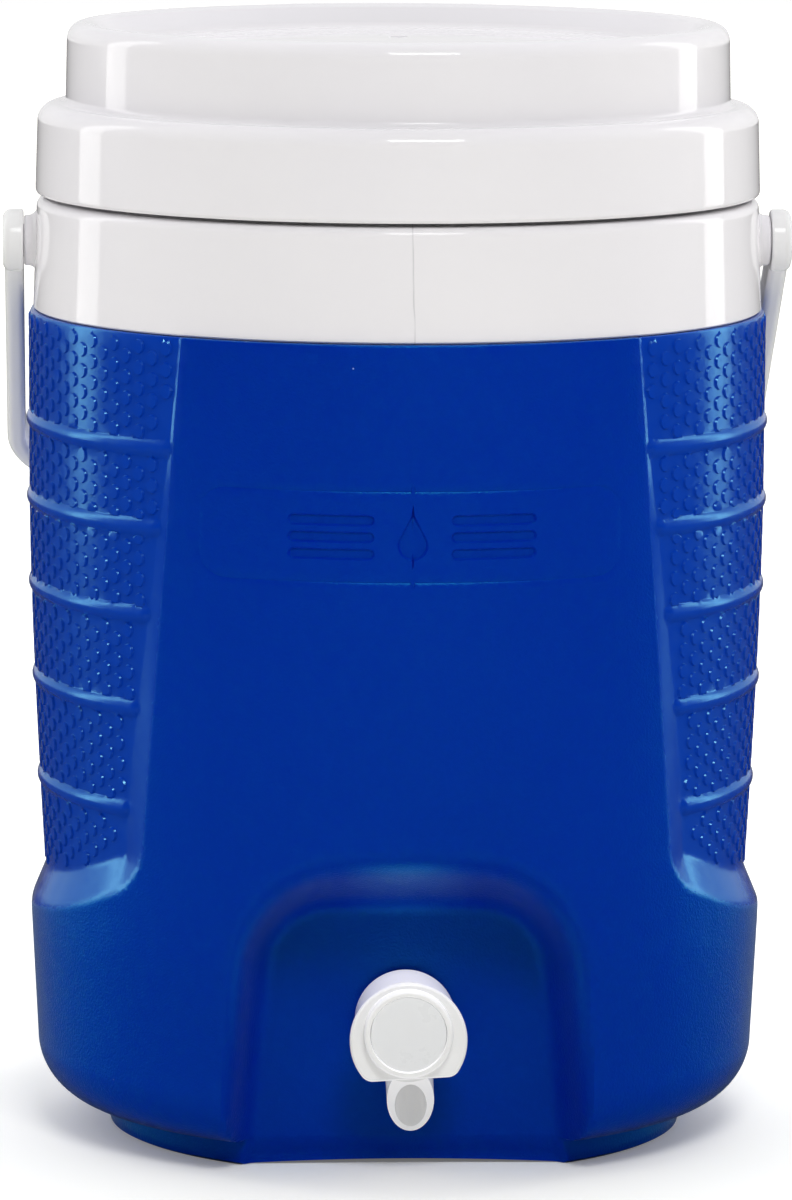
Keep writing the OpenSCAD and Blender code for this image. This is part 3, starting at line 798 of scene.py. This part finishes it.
def build_bail():
    half = bail_path()
    path = half + [(-x, z, -math.pi - a) for x, z, a in half[-2::-1]]
    bm = bmesh.new()
    rings = []
    for x, z, a in path:
        section = strap_section(STRAP_T / 2, STRAP_W / 2, 2.3)
        rings.append([bm.verts.new((x + u * math.cos(a), v, z + u * math.sin(a))) for u, v in section])
    skin(bm, rings)
    bail = make_object("bail_strap", bm, 40)
    depth = DISC_OUT - STRAP_IN
    disc = [(0, 0)] + arc(DISC_R - 0.8, 0.8, 0.8, -90, 0, 4)
    disc += arc(DISC_R - 2.6, depth - 2.6, 2.6, 0, 80, 8) + [(DISC_R - 4.5, depth - 0.02), (0, depth)]
    for side in (-1, 1):
        part = lathe("disc", disc, 72)
        turn = Matrix.Rotation(side * math.pi / 2, 4, "Y")
        move(part, Matrix.Translation((side * STRAP_IN * MM, 0, 0)) @ turn)
        combine(bail, part, "UNION")
        socket = cylinder("socket", 5.1, 5.2)
        move(socket, Matrix.Translation((side * (STRAP_IN - 0.6) * MM, 0, 0)) @ turn)
        combine(bail, socket, "DIFFERENCE")
    move(bail, Matrix.Translation((0, 0, PIVOT_Z * MM)) @ Matrix.Rotation(math.radians(BAIL_REST), 4, "X"))
    return bail


# ---- the spigot, built with its axis along +Z and then turned to face the front -----------

button_low, button_high = box_mm("push_button")
SPIGOT_Z = (button_low.z + button_high.z) / 2
BUTTON_R = (button_high.x - button_low.x) / 2
BARREL_R, BEZEL_R, BEZEL_Z = 15.8, 13.9, 28.0
SPIGOT_HOLE_R = 11.3            # in the shell and the liner
PLATE_R, PLATE_Z, PLATE_T = 18.3, 24.5, 2.6
SPOUT_R, SPOUT_BORE, SPOUT_AXIS = 7.1, 5.0, 11.0
SPIGOT_ROLL, MOUTH_SLANT = 3.3, 57.0
WELL_Z = 18.5                   # floor of the button's well
BORE_BACK = 1.1                 # how far the bore lies behind the spout's own axis
SPOUT_TIP = 11.8 - SPIGOT_Z     # height of the spout's lowest point from the spigot's axis


def place_spigot():
    return (Matrix.Translation((0, -RECESS_Y * MM, SPIGOT_Z * MM)) @ Matrix.Rotation(math.pi / 2, 4, "X")
            @ Matrix.Rotation(math.radians(SPIGOT_ROLL), 4, "Z"))


def plate_outline():
    drop, flat, corner = 2.7, 12.2, 4.2
    low = -flat + corner
    inset = math.sqrt((PLATE_R - corner) ** 2 - low ** 2)
    meet = math.degrees(math.atan2(low, inset))
    points = arc(0, 0, PLATE_R, meet, 180 - meet, 64)
    points += arc(-inset, low, corner, 180 - meet, 270, 10)[1:]
    points += arc(inset, low, corner, -90, meet, 10)[:-1]
    return [(x, y - drop) for x, y in points]


def build_plate():
    """The finger plate: an outline with rounded front and back edges."""
    outline = plate_outline()
    bm = bmesh.new()
    rounding = 0.9
    levels = [(0, 0.5), (0.15, 0.2), (0.5, 0.0)]
    levels += [(PLATE_T - rounding + rounding * math.sin(a), rounding - rounding * math.cos(a))
               for a in np.radians([0, 25, 50, 70, 90])]
    rings = []
    n = len(outline)
    for z, inset in levels:
        ring = []
        for i in range(n):
            (ax, ay), (bx, by) = outline[i - 1], outline[(i + 1) % n]
            length = math.hypot(bx - ax, by - ay)
            nx, ny = (by - ay) / length, (ax - bx) / length
            x, y = outline[i]
            ring.append(bm.verts.new((x - nx * inset, y - ny * inset, PLATE_Z - PLATE_T + z)))
        rings.append(ring)
    skin(bm, rings)
    return make_object("plate", bm)


def build_spigot():
    tail_end, washer, tail_r = -24.5, 1.8, 10.9
    thread = []
    for k in range(9):
        z = tail_end + 1.5 + 2.2 * k
        thread += [(tail_r - 0.9, z), (tail_r, z + 0.8), (tail_r, z + 1.2), (tail_r - 0.9, z + 2.0)]
    outline = [(7.0, tail_end + 0.6), (7.6, tail_end), (tail_r - 1.6, tail_end)] + thread
    outline += [(tail_r, washer), (BARREL_R - 0.5, washer)]
    outline += arc(BARREL_R - 0.5, washer + 0.5, 0.5, -90, 0, 4)
    outline += [(BARREL_R, PLATE_Z - 1.4), (BEZEL_R + 0.1, PLATE_Z - 1.4), (BEZEL_R, PLATE_Z)]
    outline += arc(BEZEL_R - 1.1, BEZEL_Z - 1.1, 1.1, 0, 90, 6)
    outline += arc(BUTTON_R + 0.4, BEZEL_Z - 0.3, 0.3, 90, 180, 4)
    outline += [(BUTTON_R + 0.1, WELL_Z), (2.55, WELL_Z), (2.55, 16.5), (11.5, 16.5), (11.5, 4.5), (7.0, 3.5)]
    body = lathe("spigot_moulding", outline, 128, 35)
    combine(body, build_plate(), "UNION", 35)
    down = Matrix.Translation((0, 0, SPOUT_AXIS * MM)) @ Matrix.Rotation(math.pi / 2, 4, "X")
    spout = lathe("spout", [(0, 9), (SPOUT_R + 0.3, 9), (SPOUT_R + 0.45, 14), (SPOUT_R, 40), (0, 40)], 96)
    move(spout, down)
    slant = block("slant", 60)
    move(slant, Matrix.Translation((0, SPOUT_TIP * MM, (SPOUT_AXIS - SPOUT_R) * MM))
         @ Matrix.Rotation(math.radians(-MOUTH_SLANT), 4, "X") @ Matrix.Translation((0, -30 * MM, 0)))
    combine(spout, slant, "DIFFERENCE", 35)
    room = cylinder("room", 11.8, 11.6)
    move(room, Matrix.Translation((0, 0, 4.7 * MM)))
    combine(spout, room, "DIFFERENCE", 35)
    combine(body, spout, "UNION", 35)
    well = cylinder("well", BUTTON_R + 0.1, 14, 128)
    move(well, Matrix.Translation((0, 0, WELL_Z * MM)))
    combine(body, well, "DIFFERENCE", 35)
    bore = cylinder("bore", SPOUT_BORE, 60, 96)
    move(bore, Matrix.Translation((0, 0, -BORE_BACK * MM)) @ down)
    combine(body, bore, "DIFFERENCE", 35)
    bevel = body.modifiers.new("edges", "BEVEL")
    bevel.width, bevel.segments, bevel.limit_method = 0.35 * MM, 2, "ANGLE"
    bevel.angle_limit = math.radians(50)
    apply_modifiers(body, 35)
    move(body, place_spigot())
    return body


def build_button():
    face = -button_low.y - RECESS_Y
    outline = [(0, face - 2.6), (BUTTON_R, face - 2.6)] + arc(BUTTON_R - 0.3, face - 0.3, 0.3, 0, 80, 4)
    outline += [(BUTTON_R - 1.5, face - 0.03), (0, face)]
    button = lathe("button_face", outline, 128, 35)
    move(button, place_spigot())
    return button


def build_spring():
    """A wire coil between the button and the guide wall, its end turns closed up."""
    low, high = box_mm("return_spring")
    wire = 0.45
    coil_r = (high.x - low.x) / 2 - wire
    turns, steps, sides = 4.5, 26, 10
    count = int(turns * steps)
    length = high.y - low.y - 2 * wire
    bm = bmesh.new()
    rings = []
    for i in range(count + 1):
        t = i / count
        a = 2 * math.pi * turns * t
        rise = smoothed(t, 0.16)
        centre = Vector((coil_r * math.cos(a), low.y + wire + length * rise, coil_r * math.sin(a)))
        out = Vector((math.cos(a), 0, math.sin(a)))
        rings.append([bm.verts.new(centre + wire * (math.cos(b) * out + math.sin(b) * Vector((0, 1, 0))))
                      for b in (2 * math.pi * k / sides for k in range(sides))])
    skin(bm, rings)
    spring = make_object("spring_coil", bm)
    move(spring, Matrix.Translation((0, 0, SPIGOT_Z * MM)))
    return spring


def smoothed(t, flat):
    """Runs from 0 to 1, slowly over the first and last share of the way."""
    edge = 0.08
    if t < flat:
        return edge * (t / flat)
    if t > 1 - flat:
        return 1 - edge * ((1 - t) / flat)
    return edge + (1 - 2 * edge) * (t - flat) / (1 - 2 * flat)


# ---- materials -------------------------------------------------------------------------

class Graph:
    """A material's node tree, with short ways to add nodes and wire them."""

    def __init__(self, name):
        self.material = bpy.data.materials.new(name)
        self.material.use_nodes = True
        self.tree = self.material.node_tree
        self.bsdf = self.tree.nodes["Principled BSDF"]
        self.where = self.add("ShaderNodeTexCoord").outputs["Object"]

    def add(self, kind, inputs=(), **settings):
        node = self.tree.nodes.new(kind)
        for key, value in settings.items():
            setattr(node, key, value)
        for key, value in dict(inputs).items():
            self.feed(node.inputs[key], value)
        return node

    def feed(self, socket, value):
        if isinstance(value, bpy.types.NodeSocket):
            self.tree.links.new(value, socket)
        else:
            socket.default_value = value

    def noise(self, scale, detail=2.0, rough=0.5):
        return self.add("ShaderNodeTexNoise", {"Vector": self.where, "Scale": scale, "Detail": detail,
                                               "Roughness": rough}).outputs["Fac"]

    def cells(self, scale, feature="F1"):
        return self.add("ShaderNodeTexVoronoi", {"Vector": self.where, "Scale": scale}, feature=feature)

    def math(self, operation, a, b=0.0):
        return self.add("ShaderNodeMath", {0: a, 1: b}, operation=operation).outputs[0]

    def ramp(self, value, a, b, low, high):
        return self.add("ShaderNodeMapRange", {"Value": value, "From Min": a, "From Max": b,
                                               "To Min": low, "To Max": high}).outputs["Result"]

    def mix(self, share, first, second):
        node = self.add("ShaderNodeMix", data_type="RGBA")
        for key, value in ((0, share), (6, first), (7, second)):
            self.feed(node.inputs[key], value)
        return node.outputs[2]

    def bump(self, height, distance, strength=1.0, normal=None):
        node = self.add("ShaderNodeBump", {"Height": height, "Distance": distance, "Strength": strength})
        if normal is not None:
            self.feed(node.inputs["Normal"], normal)
        return node.outputs["Normal"]

    def shade(self, **inputs):
        for key, value in inputs.items():
            self.feed(self.bsdf.inputs[key.replace("_", " ")], value)
        return self.material


def rgb(r, g, b):
    """Linear colour from a screen colour of 0 to 255."""
    shares = (r / 255, g / 255, b / 255)
    return tuple(c / 12.92 if c < 0.04045 else ((c + 0.055) / 1.055) ** 2.4 for c in shares) + (1,)


def moulded(name, light, dark, rough, grain, height, specular):
    """Moulded plastic: faint flow shading, uneven polish and a fine surface grain."""
    g = Graph(name)
    colour = g.mix(g.ramp(g.noise(9, 3), 0.35, 0.65, 0, 1), light, dark)
    polish = g.ramp(g.noise(140, 4, 0.6), 0.3, 0.7, rough * 0.75, rough * 1.25)
    waves = g.bump(g.noise(26, 1), 0.00006)
    normal = g.bump(g.noise(grain, 2), height, 1.0, waves)
    g.shade(Base_Color=colour, Roughness=polish, Normal=normal, Specular_IOR_Level=specular)
    return g


def spigot_plastic():
    """White moulding with a stand-in glow where it faces up or down, too dark in this studio."""
    g = moulded("spigot_moulding", rgb(238, 238, 237), rgb(236, 236, 235), 0.15, 400, 0.000008, 0.25)
    normal = g.add("ShaderNodeNewGeometry").outputs["True Normal"]
    up = g.add("ShaderNodeSeparateXYZ", {"Vector": normal}).outputs["Z"]
    glow = g.math("ADD", g.ramp(up, 0, 1, 0.05, 0.55), g.ramp(up, -0.2, -0.6, 0, 0.2))
    g.shade(Emission_Color=(0.97, 0.95, 1, 1), Emission_Strength=glow)
    return g.material


def blue_plastic():
    """Deep blue moulding with a fine pebble, a little dust and small scuffs."""
    g = Graph("blue_moulding")
    shade = g.mix(g.ramp(g.noise(7, 3), 0.35, 0.65, 0, 1), BLUE_LIGHT, BLUE_DARK)
    grain = g.noise(520, 2)
    shade = g.mix(g.ramp(grain, 0.42, 0.75, 0, 0.35), shade, BLUE_GRAIN)
    dust = g.cells(55)
    pick = g.add("ShaderNodeSeparateColor", {"Color": dust.outputs["Color"]}).outputs[0]
    chosen = g.math("GREATER_THAN", pick, 0.93)
    speck = g.math("MULTIPLY", g.ramp(dust.outputs["Distance"], 0.018, 0.010, 0, 1), chosen)
    shade = g.mix(g.math("MULTIPLY", speck, 0.75), shade, rgb(150, 175, 235))
    # The grip mask: real polish, and where the painted sheen colour goes.
    polish_and_sheen = g.add("ShaderNodeAttribute", attribute_name="polish_and_sheen").outputs["Fac"]
    height = g.math("MULTIPLY", g.noise(1200, 3, 0.6), g.ramp(polish_and_sheen, 0, 1, 1, 0.12))
    # Painted sheen: in the grips the base colour is mixed towards a lighter, greener blue that stands in for
    # the reflection the glossier grips show.
    shade = g.mix(g.math("MULTIPLY", polish_and_sheen, 0.8), shade, BLUE_PAINTED_SHEEN)
    normal = g.bump(height, PEBBLE, 1.0, g.bump(g.noise(22, 2), 0.00016))
    uneven = g.ramp(g.noise(300, 3), 0.3, 0.7, -0.03, 0.05)
    polish = g.math("ADD", uneven, g.ramp(polish_and_sheen, 0, 1, 0.36, 0.2))
    g.shade(Base_Color=shade, Roughness=polish, Normal=normal, Specular_IOR_Level=0.0)
    share = g.add("ShaderNodeFresnel", {"IOR": 1.65, "Normal": normal})
    tint = g.mix(polish_and_sheen, SHEEN_PEBBLED, SHEEN_POLISHED)
    edge_tint = g.mix(polish_and_sheen, EDGE_PEBBLED, EDGE_POLISHED)
    tint = g.mix(g.ramp(share.outputs[0], 0.12, 0.5, 0, 1), tint, edge_tint)
    sheen = g.add("ShaderNodeBsdfGlossy", {"Color": tint, "Roughness": polish, "Normal": normal})
    whole = g.add("ShaderNodeMixShader", {0: share.outputs[0], 1: g.bsdf.outputs[0], 2: sheen.outputs[0]})
    g.feed(g.tree.nodes["Material Output"].inputs["Surface"], whole.outputs[0])
    return g.material


def collar_plastic():
    """The white moulding, with the mould's parting line down the collar's front and back."""
    g = moulded("white_moulding", *GLOSSY_WHITE)
    spot = g.add("ShaderNodeSeparateXYZ", {"Vector": g.where})
    x, z = spot.outputs["X"], spot.outputs["Z"]
    wander = g.math("MULTIPLY", g.math("SUBTRACT", g.noise(38, 2), 0.5), 0.0022)
    off = g.math("ABSOLUTE", g.math("ADD", x, wander))
    line = g.ramp(off, 0.00012, 0.0003, 1, 0)
    high = g.math("GREATER_THAN", z, (SHELL_TOP - 2) * MM)
    line = g.math("MULTIPLY", line, high)
    line = g.math("MULTIPLY", line, g.ramp(g.noise(90, 1), 0.3, 0.6, 0.35, 1.0))
    old_colour = g.bsdf.inputs["Base Color"].links[0].from_socket
    old_normal = g.bsdf.inputs["Normal"].links[0].from_socket
    return g.shade(Base_Color=g.mix(g.math("MULTIPLY", line, 0.38), old_colour, rgb(150, 150, 155)),
                   Normal=g.bump(line, 0.00012, -0.6, old_normal))


def rubber(name, tone):
    g = moulded(name, rgb(tone, tone, tone + 2), rgb(tone - 8, tone - 8, tone - 6), 0.55, 600, 0.00002, 0.3)
    return g.material


def foam():
    g = Graph("foam")
    cell = g.cells(260, "SMOOTH_F1").outputs["Distance"]
    colour = g.mix(g.ramp(cell, 0.1, 0.7, 0, 1), rgb(236, 226, 190), rgb(206, 190, 140))
    return g.shade(Base_Color=colour, Roughness=g.ramp(g.noise(60, 3), 0.3, 0.7, 0.8, 0.95),
                   Normal=g.bump(cell, 0.0008), Specular_IOR_Level=0.2)


def steel(name, rough):
    g = Graph(name)
    stretch = g.add("ShaderNodeMapping", {"Vector": g.where, "Scale": (1, 6, 1)}).outputs["Vector"]
    grain = g.add("ShaderNodeTexNoise", {"Vector": stretch, "Scale": 500, "Detail": 3}).outputs["Fac"]
    colour = g.mix(grain, rgb(196, 198, 202), rgb(160, 163, 168))
    polish = g.ramp(grain, 0.3, 0.7, rough - 0.06, rough + 0.08)
    return g.shade(Base_Color=colour, Metallic=1.0, Roughness=polish, Normal=g.bump(grain, 0.00001))


GLOSSY_WHITE = (rgb(235, 233, 236), rgb(232, 230, 234), 0.065, 420, 0.000006, 0.22)
BLUE_LIGHT, BLUE_DARK, BLUE_GRAIN = rgb(0, 22, 160), rgb(0, 16, 152), rgb(0, 30, 168)
# The grips' painted sheen: a lighter, greener blue laid into their base colour.
BLUE_PAINTED_SHEEN = rgb(2, 58, 170)
SHEEN_PEBBLED, SHEEN_POLISHED = (0.05, 0.85, 1.0, 1), (0.3, 0.85, 1.0, 1)
EDGE_PEBBLED, EDGE_POLISHED = (0.6, 0.8, 1.0, 1), (0.85, 0.92, 1.0, 1)
PEBBLE = 0.0002

blue = blue_plastic()
collar_white = collar_plastic()
lid_white = moulded("lid_moulding", *GLOSSY_WHITE).material
bail_white = moulded("bail_moulding", rgb(234, 234, 234), rgb(230, 230, 231),
                     0.15, 360, 0.000008, 0.25).material
spigot_white = spigot_plastic()
button_white = moulded("button_moulding", rgb(241, 242, 243), rgb(236, 237, 239),
                       0.32, 700, 0.00002, 0.45).material
seal_rubber, foam_cream = rubber("seal_rubber", 60), foam()
spring_steel, clip_steel = steel("spring_wire", 0.22), steel("clip_plate", 0.34)

place(build_shell(), "jug", "blue_shell", blue, "outer_shell")
place(build_liner(), "jug", "white_plastic", collar_white, "inner_liner")
place(build_lid(), "lid", "lid_plastic", lid_white, "lid_cap")
place(build_bail(), "bail", "bail_plastic", bail_white, "bail_handle")
place(build_spigot(), "jug", "spigot_plastic", spigot_white, "spigot_body")
place(build_button(), "button", "button_plastic", button_white, "push_button")
spring = build_spring()
place(spring, "button", "spring_steel", spring_steel, "return_spring")
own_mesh(spring)

KEPT = {
    "shell_insulation": ("foam", foam_cream), "lid_insulation": ("foam", foam_cream),
    "foam_fill_plug": ("blue_shell", blue), "lid_inner_pan": ("lid_plastic", lid_white),
    "lid_gasket": ("seal_rubber", seal_rubber), "spigot_outer_washer": ("seal_rubber", seal_rubber),
    "spigot_inner_washer": ("seal_rubber", seal_rubber), "stem_o_ring": ("seal_rubber", seal_rubber),
    "valve_seal": ("seal_rubber", seal_rubber), "spigot_nut": ("spigot_plastic", spigot_white),
    "plunger_stem": ("button_plastic", button_white), "stem_clip": ("clip_steel", clip_steel),
}
for node, (slot, material) in KEPT.items():
    part = frame["nodes"][node]
    part.data.materials.clear()
    part.data.materials.append(material)


# ---- floor, lights and camera ----------------------------------------------------------

CAMERA_BEARING, CAMERA_REACH, CAMERA_HEIGHT = -2.5, 2.408, 0.504
CAMERA_PITCH, CAMERA_ROLL = 7.931, 0.25
STRIP_BEARING = 114
# Floor glow near the jug and far from it; the weaker glow near the jug is painted shade.
FLOOR_GLOW = (0.13, 0.4)
FILL_LOW, FILL_HIGH, FILL_FRONT, FILL_BACK = 0.5, 0.95, 0.08, 1.48
GLOSS_FRONT, GLOSS_BACK, GLOSS_TOP, GLOSS_HIGH_SHARE = 0.0, 0.75, 0.14, 0.3


def build_floor():
    bm = bmesh.new()
    bmesh.ops.create_grid(bm, x_segments=1, y_segments=1, size=6000)
    floor = make_object("floor", bm)
    g = Graph("floor_paper")
    path = g.add("ShaderNodeLightPath").outputs
    mirrored = path["Is Glossy Ray"]
    away = g.add("ShaderNodeVectorMath", {0: g.where}, operation="LENGTH").outputs["Value"]
    # The camera-only glow that keeps the floor white is weaker near the jug: painted shade around the jug's
    # base, added to its real shadow.
    glow = g.ramp(away, 0.1, 0.36, *FLOOR_GLOW)
    tone = g.mix(g.noise(3, 2), rgb(252, 251, 245), rgb(249, 248, 242))
    # Painted reflection: to glossy rays the floor is near-black, so shiny pieces reflect a dark floor instead
    # of the white one.
    g.shade(Base_Color=g.mix(mirrored, tone, (0.03, 0.03, 0.03, 1)), Roughness=0.7, Specular_IOR_Level=0.1,
            Emission_Color=(1, 1, 1, 1), Emission_Strength=g.math("MULTIPLY", path["Is Camera Ray"], glow),
            Normal=g.bump(g.noise(400, 2), 0.00002))
    floor.data.materials.append(g.material)
    floor.location.z = -0.0001


def soft_light(name, place, aim, width, height, power):
    data = bpy.data.lights.new(name, "AREA")
    data.shape = "RECTANGLE"
    data.size, data.size_y = width, height
    data.energy = power
    light = bpy.data.objects.new(name, data)
    light.location = place
    light.rotation_euler = (Vector(aim) - Vector(place)).to_track_quat("-Z", "Y").to_euler()
    scene.collection.objects.link(light)


def build_world():
    """White to the camera, an even fill for the paint, and for reflections a tent open at the front."""
    world = bpy.data.worlds.new("studio")
    world.use_nodes = True
    scene.world = world
    tree = world.node_tree
    tree.nodes.clear()

    def add(kind, inputs, **settings):
        node = tree.nodes.new(kind)
        for key, value in settings.items():
            setattr(node, key, value)
        for key, value in inputs.items():
            if isinstance(value, bpy.types.NodeSocket):
                tree.links.new(value, node.inputs[key])
            else:
                node.inputs[key].default_value = value
        return node.outputs[0]

    toward = tree.nodes.new("ShaderNodeTexCoord").outputs["Generated"]
    parts = tree.nodes.new("ShaderNodeSeparateXYZ")
    tree.links.new(toward, parts.inputs[0])

    def ramp(axis, start, end, low, high):
        return add("ShaderNodeMapRange", {"Value": parts.outputs[axis], "From Min": start, "From Max": end,
                                          "To Min": low, "To Max": high})

    behind = ramp("Y", -0.1, 0.5, GLOSS_FRONT, GLOSS_BACK)
    behind = add("ShaderNodeMath", {0: behind, 1: ramp("Z", 0.25, 0.6, 1.0, GLOSS_HIGH_SHARE)},
                 operation="MULTIPLY")
    gloss = add("ShaderNodeMath", {0: behind, 1: ramp("Z", 0.3, 0.9, 0.0, GLOSS_TOP)}, operation="ADD")
    fill = add("ShaderNodeMath", {0: ramp("Z", -1.0, 1.0, FILL_LOW, FILL_HIGH),
                                  1: ramp("Y", -0.95, 0.5, FILL_FRONT, FILL_BACK)}, operation="MULTIPLY")
    path = tree.nodes.new("ShaderNodeLightPath")
    level = add("ShaderNodeMix", {0: path.outputs["Is Glossy Ray"], 2: fill, 3: gloss})
    level = add("ShaderNodeMix", {0: path.outputs["Is Camera Ray"], 2: level, 3: 1.0})
    light = add("ShaderNodeBackground", {"Color": (1, 1, 1, 1), "Strength": level})
    out = tree.nodes.new("ShaderNodeOutputWorld")
    tree.links.new(light, out.inputs["Surface"])


def build_camera():
    data = bpy.data.cameras.new("camera")
    data.lens, data.sensor_width = 227.1, 36.0
    data.clip_end = 50
    camera = bpy.data.objects.new("camera", data)
    bearing = math.radians(CAMERA_BEARING)
    spot = Vector((CAMERA_REACH * math.sin(bearing), -CAMERA_REACH * math.cos(bearing), CAMERA_HEIGHT))
    camera.matrix_world = (Matrix.Translation(spot) @ Matrix.Rotation(bearing, 4, "Z")
                           @ Matrix.Rotation(math.radians(90 - CAMERA_PITCH), 4, "X")
                           @ Matrix.Rotation(math.radians(CAMERA_ROLL), 4, "Z"))
    scene.collection.objects.link(camera)
    scene.camera = camera


build_floor()
build_world()
soft_light("key", (0.25, -1.85, 2.0), (0, 0, 0.15), 0.9, 0.6, 27)
for side in (-1, 1):
    bearing = math.radians(STRIP_BEARING)
    spot = (side * 1.6 * math.sin(bearing), -1.6 * math.cos(bearing), 0.6)
    soft_light("strip", spot, (0, 0, 0.25), 0.36, 1.8, 6.5)
build_camera()
scene.view_settings.view_transform = "Standard"
scene.view_settings.look = "None"
